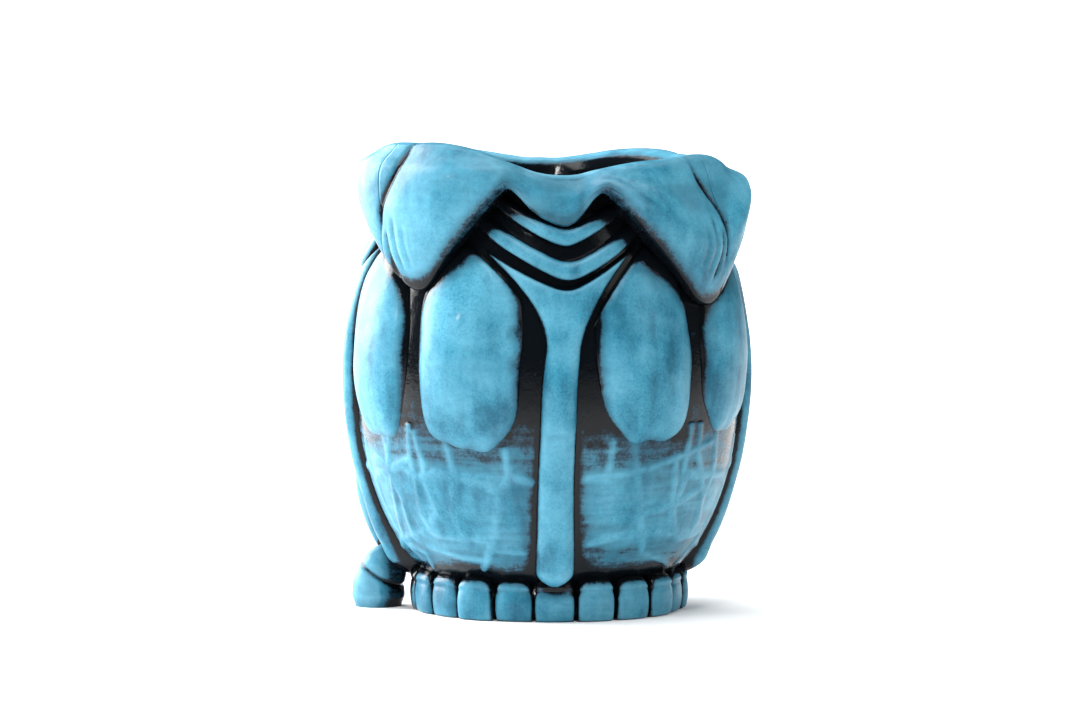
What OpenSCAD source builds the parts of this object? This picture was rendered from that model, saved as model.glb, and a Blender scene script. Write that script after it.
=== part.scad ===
// Four-faced ceramic tiki mug: a cast vessel dressed with modelled clay pieces.
// Millimetres. Origin at the centre of the base, +Z up, the front nose towards -Y.
// Azimuths are degrees from the front nose, positive towards +X.

/* [Vessel] */
// Height of the tallest brow crest above the table
mug_h = 120; // [100:1:150]
// Largest outside radius of the plain vessel wall
belly_r = 48.5; // [42:0.5:60]
// Height of that largest radius
belly_z = 58; // [48:1:68]
// Outside radius of the wall where the brows sit on it
neck_r = 40; // [36:0.5:46]
// Thickness of the vessel wall
wall = 4.5; // [3.5:0.25:6]
// Height of the inside floor above the table
floor_z = 12; // [11:0.5:16]
// Radius of the flat part of the inside floor
floor_r = 22; // [16:0.5:26]

/* [Foot] */
// Outside radius of the foot that the vessel stands on
foot_r = 31; // [27:0.5:33]
// Radial thickness of the foot's rim
foot_rim = 4; // [3:0.25:6]
// Height of the foot
foot_h = 8.5; // [7:0.25:9.5]
// Height of the hollow under the foot
sole_lift = 1.5; // [1:0.25:3]
// How far the teeth stand out from the foot
tooth_t = 4.7; // [3.5:0.1:6]
// How far the teeth rise over the foot
tooth_over = 2.6; // [0.8:0.1:2.8]
// Number of teeth round the foot
tooth_count = 20; // [20]
// Gap between two teeth
tooth_gap = 0.9; // [0.5:0.1:1.6]

/* [Brows] */
// Height of the brows above their seat on the vessel, at the crest
brow_rise = 16; // [14:0.5:20]
// How far the crests are lower over each nose
crest_dip = 7.3; // [4:0.1:9]
// Largest outside radius of the brow lobes
lobe_r = 51.5; // [48:0.5:60]
// Outside radius of the forehead over each nose
forehead_r = 43.8; // [42:0.2:46]
// How far the lobes hang below the highest crest
lobe_drop = 37.2; // [32:0.2:40]
// How far the lobes draw in from their fullest part to their points
lobe_tuck = 3.2; // [2:0.1:4]
// Least thickness of a brow over the wall at its lower edge
brow_skin = 2; // [1.5:0.1:2.2]
// Azimuth of the seam in the front right lobe
seam_front_right = 57; // [54:1:66]
// Azimuth of the seam in the back right lobe
seam_back_right = 120; // [112:1:128]
// Azimuth of the seam in the back left lobe
seam_back_left = 240; // [232:1:248]
// Azimuth of the seam in the front left lobe
seam_front_left = 302; // [294:1:306]

/* [Folds] */
// Width of a fold
fold_w = 3.6; // [2.5:0.1:4]
// Height of a fold above the wall
fold_t = 2.6; // [1.5:0.1:3.5]
// Distance between the folds at the middle
fold_pitch = 7.6; // [7.2:0.1:9]
// Depth of the upper fold's middle below the highest crest
fold_depth = 22.9; // [22.5:0.1:24]

/* [Noses] */
// Half width of a nose rib
nose_half_w = 5.2; // [4:0.1:6]
// Height of a nose above the wall
nose_t = 3.7; // [2.5:0.1:5]
// Depth of the notch between a nose's arms below the highest crest
notch_depth = 36.6; // [36:0.1:40]
// Azimuth that a nose's arms reach to, from the nose
arm_reach = 26.5; // [22:0.5:27]

/* [Eye pads] */
// Height of the pads' lowest point above the table
pad_low = 44.5; // [38:0.5:50]
// Height of a pad above the wall
pad_t = 3.2; // [2:0.1:4]
// Clear groove between a pad and what is above it
pad_groove = 1; // [0.6:0.1:2]

/* [Limb at the left] */
// Azimuth of the limb
limb_az = -107; // [-110:0.5:-106]
// Half width of the limb, in degrees
limb_half = 4.5; // [3:0.5:5]
// Height of the limb's top
limb_top = 40; // [34:1:42]
// Largest height of the limb above the wall
limb_t = 9.5; // [6:0.5:10]
// Azimuth of the foot knob
knob_az = -99; // [-102:0.5:-96]
// Length of the knob, away from the mug
knob_l = 13.4; // [11:0.2:16]
// Half width of the knob
knob_half_w = 6.6; // [5:0.2:8]
// Height of the knob
knob_h = 16; // [14:0.5:18]

/* [Hidden] */
FACES = ["front", "right", "back", "left"];
TOOTH_NAMES = [for (k = [1 : tooth_count]) str("tooth_", k < 10 ? "0" : "", k)];

glaze = "#4f9fba";

luting = 0.1;                        // layer of slip between the wall and a piece on it
pad_square = 2.9;                    // outline of a pad: 2 is an ellipse, more is squarer
rim_t = 0.3;                         // thickness of a piece at its own edge
brow_lip = 0.7;                      // thickness of a brow at its lower edge
shoulder = 0.62;                     // level of a brow's fullest part, as a share of its height
flare_z = mug_h - 48;                // where a nose rib starts to open
arm_z = mug_h - 26;                  // height of the ends of its arms
notch_z = mug_h - notch_depth;       // notch between the arms
tooth_top = foot_h + tooth_over;
nose_tip_z = tooth_top + 0.3;        // lower end of a nose rib
tooth_round = tooth_t * 0.55;        // radius of the teeth's front edges
limb_low = tooth_top + 0.3;
limb_gap = 0.2;                      // degrees kept clear between the limb and the nose beside it
knob_round = 0.7;                    // how much smaller the knob is at the table
knob_waist = knob_h * 0.3;           // level of its fullest part
knob_ball = knob_l * 0.36;           // radius of its top
knob_shift = knob_l * 0.12;          // how far its top leans outwards
seat_z = mug_h - brow_rise;          // rim of the vessel
curve_z = foot_h - 0.5;              // level where the lower curve would turn flat
curve_r = foot_r - 2.5;              // radius there
lower_full = 0.75;                   // how full the lower curve is: 0.5 is an ellipse
tooth_out_r = foot_r + tooth_t;
mouth_r = neck_r - wall;
tooth_pitch = 360 / tooth_count;

// azimuths of the noses and of the lobes' points, in the order of FACES
nose_az = [0, 94, 180, 266];
lobe_az = [52, 139.5, 220.5, 315];
// half spans of each face's two pads: distance from the nose, then half width
pad_place = [[27.6, 17.2], [27, 16.5], [23.5, 15], [27, 16.5]];
// crest heights below the tallest, one for each lobe
crest_less = [3.4, 5, 4.5, 0];
// upper and lower fold: half span in degrees, and how far the ends rise above the middle
fold_span = [[18, 5.6], [24, 7.8]];

// Shapes along half a face, from the nose (0) to the lobe's point (1)
edge_line = [[0, 19.5], [0.1, 18], [0.2, 15.4], [0.3, 12.2], [0.36, 12.9], [0.45, 16.5],
             [0.6, 24], [0.7, 29], [0.83, 34.4], [0.92, 36.6], [1, 37.2]];
bulge_line = [[0, 0], [0.2, 0.08], [0.3, 0.3], [0.4, 0.72], [0.5, 0.92], [0.65, 1], [1, 1]];
crest_line = [[0, 1], [0.15, 0.9], [0.35, 0.52], [0.55, 0.2], [0.75, 0.04], [1, 0]];

// ---- the vessel's own curves ----
function wall_r(z) =
    z <= belly_z
    ? curve_r + (belly_r - curve_r) * pow(max(0, 1 - pow((belly_z - z) / (belly_z - curve_z), 2)), lower_full)
    : belly_r - (belly_r - neck_r) * pow((z - belly_z) / (seat_z - belly_z), 2);
function bore_r(z) =
    z <= belly_z
    ? floor_r + (belly_r - wall - floor_r)
                * pow(max(0, 1 - pow((belly_z - z) / (belly_z - floor_z), 2)), lower_full)
    : wall_r(z) - wall;
function levels(low, high, n) = [for (i = [0 : n]) low + (high - low) * i / n];

// ---- helpers ----
function mix(a, b, t) = a + (b - a) * t;
function at(az, r, z) = [r * sin(az), -r * cos(az), z];
// a point on the wall, lifted by h, where the facets that meet there are step degrees wide
function on_wall(az, z, h, step) = at(az, (wall_r(z) + luting + h) / cos(step / 2), z);
function dome(u) = sqrt(max(0, 1 - pow(abs(u), 4)));
function catmull(a, b, c, d, t) =
    0.5 * (2 * b + (c - a) * t + (2 * a - 5 * b + 4 * c - d) * t * t
           + (3 * b - a - 3 * c + d) * t * t * t);
function spline(p, n) =
    let (e = concat([2 * p[0] - p[1]], p, [2 * p[len(p) - 1] - p[len(p) - 2]]))
    concat([for (k = [0 : len(p) - 2], s = [0 : n - 1]) catmull(e[k], e[k + 1], e[k + 2], e[k + 3], s / n)],
           [p[len(p) - 1]]);

// A closed solid between two sheets of points, front[i][j] and back[i][j].
// Seen from the front, i runs upwards and j to the right.
module slab(front, back) {
    rows = len(front) - 1;
    cols = len(front[0]) - 1;
    n = (rows + 1) * (cols + 1);
    function f(i, j) = i * (cols + 1) + j;
    function b(i, j) = n + f(i, j);
    function quad(p, q, r, s) = [[p, q, r], [p, r, s]];
    polyhedron(
        points = concat([for (line = front) each line], [for (line = back) each line]),
        faces = concat(
            [for (i = [0 : rows - 1], j = [0 : cols - 1])
                each quad(f(i, j), f(i + 1, j), f(i + 1, j + 1), f(i, j + 1))],
            [for (i = [0 : rows - 1], j = [0 : cols - 1])
                each quad(b(i, j), b(i, j + 1), b(i + 1, j + 1), b(i + 1, j))],
            [for (j = [0 : cols - 1]) each quad(f(0, j), f(0, j + 1), b(0, j + 1), b(0, j))],
            [for (j = [0 : cols - 1]) each quad(f(rows, j + 1), f(rows, j), b(rows, j), b(rows, j + 1))],
            [for (i = [0 : rows - 1]) each quad(f(i + 1, 0), f(i, 0), b(i, 0), b(i + 1, 0))],
            [for (i = [0 : rows - 1]) each quad(f(i, cols), f(i + 1, cols), b(i + 1, cols), b(i, cols))]
        ),
        convexity = 8
    );
}

// ---- where an azimuth lies between its nearest nose and its nearest lobe ----
function gap(a, b) = abs(((a - b) % 360 + 540) % 360 - 180);
function nearest(list, az) =
    let (d = [for (a = list) gap(az, a)]) search(min(d), d)[0];
// share of the way from the nearest nose to the nearest lobe's point
function along(az) =
    let (n = nearest(nose_az, az), l = nearest(lobe_az, az),
         span = gap(nose_az[n], lobe_az[l]))
    min(1, gap(az, nose_az[n]) / span);
function edge_z(az) = mug_h - lookup(along(az), edge_line) * lobe_drop / edge_line[len(edge_line) - 1][1];
function bulge_r(az) = mix(forehead_r, lobe_r, lookup(along(az), bulge_line));
function crest_z(az) =
    let (t = along(az))
    mug_h - lookup(t, crest_line) * crest_dip - crest_less[nearest(lobe_az, az)] * lookup(t, bulge_line);

// ---- vessel and teeth ----
module vessel() {
    outside = [for (z = levels(foot_h, seat_z, 44)) [wall_r(z), z]];
    inside = [for (z = levels(seat_z, floor_z, 40)) [bore_r(z), z]];
    color(glaze)
    rotate_extrude($fn = 180)
    polygon(concat([[0, sole_lift], [foot_r - foot_rim, sole_lift], [foot_r - foot_rim, 0], [foot_r, 0],
                    [foot_r, foot_h]], outside, inside, [[0, floor_z]]));
}

// One tooth of the ring: a round-fronted block with its back to the foot
module tooth(k) {
    lean = wall_r(tooth_top) + luting;      // the tooth's top clears the belly above it
    shape = concat(
        [[foot_r, 0]],
        [for (a = [-90 : 18 : 90]) [tooth_out_r - tooth_round + tooth_round * cos(a),
                                    (a < 0 ? tooth_round : tooth_top - tooth_round) + tooth_round * sin(a)]],
        [[min(lean, tooth_out_r - tooth_round), tooth_top], [foot_r, foot_h - 0.2]]
    );
    gap_angle = tooth_gap / tooth_out_r * 180 / PI;
    color(glaze)
    rotate([0, 0, k * tooth_pitch - 90 - tooth_pitch / 2 + gap_angle / 2])
    rotate_extrude(angle = tooth_pitch - gap_angle, $fn = 180)
    polygon(shape);
}

// ---- brows ----
// The section of the brows at an azimuth, from the lower edge over the crest to the seat
function brow_front(az, step) =
    let (e = edge_z(az), c = crest_z(az), full = bulge_r(az),
         lip = wall_r(e) + luting + brow_lip,
         low = max(full - lobe_tuck * pow((c - e) / lobe_drop, 2), wall_r(e + 2.2) + brow_skin),
         b = max(full, low))
    [for (p = spline([
        [lip, e],
        [mix(lip, low, 0.7), e + 0.2],
        [low, e + 2.2],
        [mix(low, b, 0.75), mix(e, c, shoulder / 2)],
        [b, mix(e, c, shoulder)],
        [mix(b, mouth_r, 0.13), mix(e, c, 0.82)],
        [mix(b, mouth_r, 0.38), c - 0.5],
        [mix(b, mouth_r, 0.72), c - 0.4],
        [mouth_r + 0.3, c - 3.4],
        [mouth_r, seat_z + 0.6]], 3))
     at(az, p[0] / cos(step / 2), p[1])];
function brow_back(az, step, rows) =
    let (e = edge_z(az))
    concat([for (z = levels(e, seat_z, rows - 3)) on_wall(az, z, 0, step)],
           [for (t = [1 : 3]) at(az, mix(wall_r(seat_z) + luting, mouth_r, t / 3) / cos(step / 2), seat_z)]);
module brow(from_az, to_az) {
    n = ceil((to_az - from_az) / 4);
    step = (to_az - from_az) / n;
    azs = [for (j = [0 : n]) from_az + step * j];
    front = [for (az = azs) brow_front(az, step)];
    back = [for (az = azs) brow_back(az, step, len(front[0]) - 1)];
    color(glaze)
    slab([for (i = [0 : len(front[0]) - 1]) [for (s = front) s[i]]],
         [for (i = [0 : len(back[0]) - 1]) [for (s = back) s[i]]]);
}

// ---- folds: rounded V strips across each forehead ----
module fold(face, level) {
    reach = fold_span[level][0];
    rise = fold_span[level][1];
    n = 14;
    step = 2 * reach / n;
    middle_z = mug_h - fold_depth - level * fold_pitch;
    us = [for (j = [0 : n]) -1 + 2 * j / n];
    ws = [-1, -0.7, 0, 0.7, 1];
    function half_w(u) = fold_w / 2 * (1 - 0.55 * pow(abs(u), 3));
    function z_of(u, w) = middle_z + rise * pow(abs(u), 1.25) + w * half_w(u);
    function lift(u, w) = rim_t + fold_t * sqrt(1 - w * w * 0.98) * (1 - 0.6 * pow(abs(u), 4));
    color(glaze)
    slab([for (w = ws) [for (u = us) on_wall(nose_az[face] + u * reach, z_of(u, w), lift(u, w), step)]],
         [for (w = ws) [for (u = us) on_wall(nose_az[face] + u * reach, z_of(u, w), 0, step)]]);
}

// ---- noses: a rib from the teeth up, opening into two arms under the folds ----
rib_half = nose_half_w / belly_r * 180 / PI;
// azimuth half width of the nose's outline at a level, and the level of the outline at an azimuth
function nose_half(z) =
    z < flare_z
    ? nose_half_w * (1 + 0.12 * (flare_z - z) / flare_z) / wall_r(z) * 180 / PI
    : rib_half + (arm_reach - rib_half) * pow((z - flare_z) / (arm_z - flare_z), 2);
function arm_low(d) = flare_z + (arm_z - flare_z) * sqrt(max(0, (d - rib_half) / (arm_reach - rib_half)));
module nose(face) {
    side_z = concat(levels(nose_tip_z, flare_z, 9), [for (t = [1 : 6]) mix(flare_z, arm_z, t / 6)]);
    n = 10;
    us = [for (j = [0 : n]) -1 + 2 * j / n];
    step = 2 * arm_reach / n;
    function mid_z(s) = s < flare_z ? s : mix(flare_z, notch_z, (s - flare_z) / (arm_z - flare_z));
    function row_z(s, u) = mix(mid_z(s), s, pow(abs(u), 1.15));
    function lift(s, u) =
        let (top = min(1, (arm_z - s) / 3 + 0.35), low = min(1, (s - nose_tip_z) / 4 + 0.5))
        rim_t + nose_t * dome(u) * top * low * (s > flare_z ? 1 - 0.35 * pow(u, 4) : 1);
    color(glaze)
    slab([for (s = side_z) [for (u = us)
            on_wall(nose_az[face] + u * nose_half(s), row_z(s, u), lift(s, u), step)]],
         [for (s = side_z) [for (u = us)
            on_wall(nose_az[face] + u * nose_half(s), row_z(s, u), 0, step)]]);
}

// ---- eye pads: two on each face, side is -1 or 1 ----
module eye_pad(face, side) {
    away = pad_place[face][0];
    half = pad_place[face][1];
    mid_z = (pad_low + arm_z) / 2;
    half_h = mid_z - pad_low;
    n = 8;
    m = 9;
    step = 2 * half / n;
    us = [for (j = [0 : n]) 0.97 * (-1 + 2 * j / n)];
    function oval(u) = half_h * pow(1 - pow(abs(u), pad_square), 1 / pad_square);
    function az_of(u) = nose_az[face] + side * away + u * half;
    function top_z(u) =
        min(mid_z + oval(u), arm_low(gap(az_of(u), nose_az[face])) - pad_groove,
            edge_z(az_of(u)) - pad_groove);
    function z_of(u, t) = mix(mid_z - oval(u), top_z(u), t);
    function lift(u, t) = rim_t + pad_t * dome(u / 0.985) * dome((2 * t - 1) * 0.985);
    color(glaze)
    slab([for (i = [0 : m]) [for (u = us) on_wall(az_of(u), z_of(u, i / m), lift(u, i / m), step)]],
         [for (i = [0 : m]) [for (u = us) on_wall(az_of(u), z_of(u, i / m), 0, step)]]);
}

// ---- the limb behind the left nose, and the knob it stands on ----
knob_in_r = tooth_out_r + 0.9;        // the knob stops clear of the teeth
// middle azimuth of the limb at a level, moved aside where the nose is wide
function limb_mid(z) = min(limb_az, nose_az[3] - 360 - nose_half(z) - limb_gap - limb_half);
module limb() {
    n = 4;
    m = 8;
    step = 2 * limb_half / n;
    us = [for (j = [0 : n]) -1 + 2 * j / n];
    function z_of(t) = mix(limb_low, limb_top, t);
    function lift(u, t) = rim_t + limb_t * dome(u * 0.97) * pow(1 - t * t * t, 0.6);
    color(glaze)
    difference() {
        slab([for (i = [0 : m]) [for (u = us)
                on_wall(limb_mid(z_of(i / m)) + u * limb_half, z_of(i / m), lift(u, i / m), step)]],
             [for (i = [0 : m]) [for (u = us)
                on_wall(limb_mid(z_of(i / m)) + u * limb_half, z_of(i / m), 0, step)]]);
        knob_lump(luting);
    }
}
module knob_lump(grow) {
    rotate([0, 0, knob_az - 90])
    translate([knob_in_r + knob_l / 2, 0, 0])
    hull() {
        scale([knob_l / 2 - knob_round + grow, knob_half_w - knob_round + grow, 1])
        cylinder(h = 1, r = 1, $fn = 40);
        translate([0, 0, knob_waist])
        scale([knob_l / 2 + grow, knob_half_w + grow, 1])
        cylinder(h = 1, r = 1, $fn = 40);
        translate([knob_shift, 0, knob_h - knob_ball])
        sphere(knob_ball + grow, $fn = 32);
    }
}
module foot_knob() {
    color(glaze)
    knob_lump(0);
}

vessel();
brow(seam_front_left - 360, seam_front_right);  // brow_front
brow(seam_front_right, seam_back_right);  // brow_right
brow(seam_back_right, seam_back_left);  // brow_back
brow(seam_back_left, seam_front_left);  // brow_left
for (i = [0 : 3]) {
    fold(i, 0);
    fold(i, 1);
    nose(i);
    eye_pad(i, -1);
    eye_pad(i, 1);
}
for (k = [0 : tooth_count - 1])
    tooth(k);
limb();  // limb_left
foot_knob();
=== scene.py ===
import bpy
import math
import numpy as np
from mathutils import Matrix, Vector


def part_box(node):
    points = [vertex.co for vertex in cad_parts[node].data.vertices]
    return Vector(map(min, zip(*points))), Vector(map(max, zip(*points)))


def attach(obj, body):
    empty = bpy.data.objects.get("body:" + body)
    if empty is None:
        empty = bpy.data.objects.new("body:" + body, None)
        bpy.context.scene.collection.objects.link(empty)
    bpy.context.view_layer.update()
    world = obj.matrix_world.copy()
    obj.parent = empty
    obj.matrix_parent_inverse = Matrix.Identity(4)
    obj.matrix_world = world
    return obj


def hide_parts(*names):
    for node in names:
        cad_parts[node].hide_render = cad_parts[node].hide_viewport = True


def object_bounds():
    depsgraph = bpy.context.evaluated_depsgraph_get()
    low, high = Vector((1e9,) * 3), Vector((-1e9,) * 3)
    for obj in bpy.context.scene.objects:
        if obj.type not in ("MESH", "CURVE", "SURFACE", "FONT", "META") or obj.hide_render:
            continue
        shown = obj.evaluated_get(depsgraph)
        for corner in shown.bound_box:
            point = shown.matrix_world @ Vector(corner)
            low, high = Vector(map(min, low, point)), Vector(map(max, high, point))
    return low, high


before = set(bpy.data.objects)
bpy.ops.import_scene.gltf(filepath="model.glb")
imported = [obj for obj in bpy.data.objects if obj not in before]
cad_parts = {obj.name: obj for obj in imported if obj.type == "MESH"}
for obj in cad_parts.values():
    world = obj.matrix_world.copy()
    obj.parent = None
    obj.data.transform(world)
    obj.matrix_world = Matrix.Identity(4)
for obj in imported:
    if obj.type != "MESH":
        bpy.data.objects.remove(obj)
cadBox = [list(map(float, corner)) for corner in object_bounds()]

mm = 0.001
faces = ["front", "right", "back", "left"]

# sizes that come from the frame, in mm
vesselHigh = np.array(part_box("vessel")[1]) / mm
toothLow, toothHigh = [np.array(c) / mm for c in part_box("tooth_01")]
mugTop = cadBox[1][2] / mm
seatZ = vesselHigh[2]              # rim of the vessel, where the brows sit
bellyR = vesselHigh[0]
toothTop = toothHigh[2]
print("sizes: top %.1f, rim %.1f, belly %.1f" % (mugTop, seatZ, bellyR))

# the cup, as a maker would mark it out on the wheel
cup = {
    "bellyHeight": 58.0,
    "neckRadius": 40.0,
    "wall": 4.5,
    "footRadius": 31.0,
    "footHeight": 8.5,
    "wallBelow": 0.5,          # the wall's curve starts this far under the foot's top
    "wallInset": 2.5,          # and this far inside its edge
    "lowerFullness": 0.68,
    "floorHeight": 12.0,
    "floorRadius": 22.0,
    "soleLift": 1.5,
    "footRim": 4.0,
    "turns": 400,
    "paddleMarks": 0.22,
}
mouthR = cup["neckRadius"] - cup["wall"]
startZ = cup["footHeight"] - cup["wallBelow"]
startR = cup["footRadius"] - cup["wallInset"]


def belowBelly(z, bottom):
    # 0 at the bottom and 1 from the belly up, on a full round curve
    belly = cup["bellyHeight"]
    low = 1 - ((belly - np.minimum(z, belly)) / (belly - bottom)) ** 2
    return np.clip(low, 0, 1) ** cup["lowerFullness"]


def wallRadius(z):
    z = np.asarray(z, float)
    lower = startR + (bellyR - startR) * belowBelly(z, startZ)
    t = (np.maximum(z, cup["bellyHeight"]) - cup["bellyHeight"]) / (seatZ - cup["bellyHeight"])
    upper = bellyR - (bellyR - cup["neckRadius"]) * t ** 2
    return np.where(z <= cup["bellyHeight"], lower, upper)


def boreRadius(z):
    z = np.asarray(z, float)
    wide = bellyR - cup["wall"] - cup["floorRadius"]
    lower = cup["floorRadius"] + wide * belowBelly(z, cup["floorHeight"])
    return np.where(z <= cup["bellyHeight"], lower, wallRadius(z) - cup["wall"])


def smooth(x, a, b):
    t = np.clip((np.asarray(x, float) - a) / (b - a), 0, 1)
    return t * t * (3 - 2 * t)


def turned(a):
    return (np.asarray(a, float) + 180) % 360 - 180


def onto(az, r, z):
    a = np.radians(az)
    return np.stack([r * np.sin(a), -r * np.cos(a), np.broadcast_to(z, np.shape(r))], -1)


def wobble(az, z, size, seed):
    # soft unevenness of hand-worked clay, the same at az and az + 360
    a = np.radians(az)
    x, y, w = np.sin(a) * 45 / size, np.cos(a) * 45 / size, np.asarray(z) / size
    dice = np.random.default_rng(seed)
    total = 0
    for k in range(9):
        d = dice.normal(size=3)
        total = total + np.sin(x * d[0] + y * d[1] + w * d[2] + dice.uniform(0, 6.28)) / 3
    return total


# where the four faces and the four lobes are
faceSet = {
    "front": {"az": 0.0, "shift": 3.2, "reach": (27.0, 20.0), "peaks": (0.34, 0.265), "lean": 0.6,
              "arms": (33.5, 27.5), "spread": (1.8, 1.85)},
    "right": {"az": 94.0, "shift": 0.0, "reach": (23.0, 22.0), "peaks": (0.30, 0.32), "lean": 0.0,
              "arms": (29.0, 28.0), "spread": (1.8, 1.8)},
    "back": {"az": 180.0, "shift": -1.0, "reach": (22.0, 24.0), "peaks": (0.32, 0.31), "lean": -0.8,
             "arms": (28.0, 28.5), "spread": (1.8, 1.8)},
    "left": {"az": 266.0, "shift": 0.0, "reach": (22.0, 23.0), "peaks": (0.32, 0.26), "lean": 0.0,
             "arms": (28.0, 28.5), "spread": (1.8, 1.75)},
}
lobeSet = [
    {"az": 52.5, "crestLess": 3.4, "drop": 41.0, "crease": 57.0,
     "full": 52.8, "shoulder": 0.46, "roundTop": 0.30},
    {"az": 139.5, "crestLess": 5.0, "drop": 38.5, "crease": 120.0,
     "full": 51.4, "shoulder": 0.56, "roundTop": 0.15},
    {"az": 220.5, "crestLess": 4.5, "drop": 37.5, "crease": 240.0,
     "full": 51.2, "shoulder": 0.58, "roundTop": 0.15},
    {"az": 314.5, "crestLess": 0.0, "drop": 36.9, "crease": 302.0,
     "full": 51.6, "shoulder": 0.57, "roundTop": 0.05},
]
brow = {
    "crestDip": 7.4,
    "foreheadRadius": 43.9,
    "tuck": 3.0,
    "commonDrop": 38.0,
    "creaseDepth": 0.7,
    "creaseWidth": 1.0,
    "creaseValley": 0.8,
    "sink": 0.35,
    "peakShare": 0.32,
    "backShare": 0.72,         # share of the rows whose back lies on the wall
    "unevenness": ((13, 0.28, 3), (4, 0.07, 5)),      # size, height, seed
    "rows": 104,
    "azStep": 0.6,
}
edgeShares = [0, 0.1, 0.2, 0.27, 0.32, 0.38, 0.45, 0.6, 0.7, 0.8, 0.9, 1]
edgeDrops = [0.54, 0.505, 0.42, 0.345, 0.31, 0.345, 0.43, 0.61, 0.73, 0.855, 0.96, 1]
bulgeShares = [0, 0.17, 0.28, 0.38, 0.48, 0.62, 1]
bulges = [0, 0.06, 0.26, 0.68, 0.9, 1, 1]
crestShares = [0, 0.12, 0.3, 0.45, 0.62, 0.8, 1]
crestDips = [1, 0.95, 0.66, 0.38, 0.16, 0.04, 0]


def softCurve(x, xs, ys):
    # smooth curve through a few chosen points, flat at both ends
    xs, ys = np.array(xs, float), np.array(ys, float)
    slopes = np.gradient(ys, xs)
    slopes[0] = slopes[-1] = 0
    k = np.clip(np.searchsorted(xs, x, side="right") - 1, 0, len(xs) - 2)
    h = xs[k + 1] - xs[k]
    t = np.clip((x - xs[k]) / h, 0, 1)
    return ((2 * t ** 3 - 3 * t ** 2 + 1) * ys[k] + (t ** 3 - 2 * t ** 2 + t) * h * slopes[k]
            + (3 * t ** 2 - 2 * t ** 3) * ys[k + 1] + (t ** 3 - t ** 2) * h * slopes[k + 1])


knots = sorted([(faceSet[f]["az"], "nose", faceSet[f]) for f in faces]
               + [(l["az"], "lobe", l) for l in lobeSet], key=lambda k: k[0])


def between(az):
    # share of the way from the nearest nose (0) to the nearest lobe's point (1), and that lobe's values
    az = np.asarray(az, float) % 360
    front = turned(az)
    az = az - faceSet["front"]["shift"] * np.exp(-((front - 3) / 9) ** 2)
    share = np.zeros_like(az)
    values = {key: np.zeros_like(az) for key in ("crestLess", "drop", "full", "shoulder", "roundTop")}
    spots = knots + [(knots[0][0] + 360, knots[0][1], knots[0][2])]
    az = np.where(az < spots[0][0], az + 360, az)
    for a, b in zip(spots[:-1], spots[1:]):
        here = (az >= a[0]) & (az <= b[0])
        t = np.clip((az - a[0]) / (b[0] - a[0]), 0, 1)
        rising = b[1] == "lobe"
        face, lobe = (a[2], b[2]) if rising else (b[2], a[2])
        t = t if rising else 1 - t
        power = math.log(brow["peakShare"]) / math.log(face["peaks"][1 if rising else 0])
        share = np.where(here, t ** power, share)
        for key in values:
            values[key] = np.where(here, lobe[key], values[key])
    return share, values


def lobeDrop(share, values):
    # each lobe's own drop fades to a common one over the noses
    w = smooth(share, 0.0, 0.55)
    return brow["commonDrop"] * (1 - w) + values["drop"] * w


def browEdge(az):
    share, values = between(az)
    return mugTop - softCurve(share, edgeShares, edgeDrops) * lobeDrop(share, values)


def browCrest(az):
    share, values = between(az)
    less = values["crestLess"] * softCurve(share, [0, 0.5, 1], [0, 0.8, 1])
    return mugTop - 0.4 - softCurve(share, crestShares, crestDips) * brow["crestDip"] - less


def browFull(az):
    share, values = between(az)
    bulge = values["full"] - brow["foreheadRadius"]
    return brow["foreheadRadius"] + softCurve(share, bulgeShares, bulges) * bulge


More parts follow.
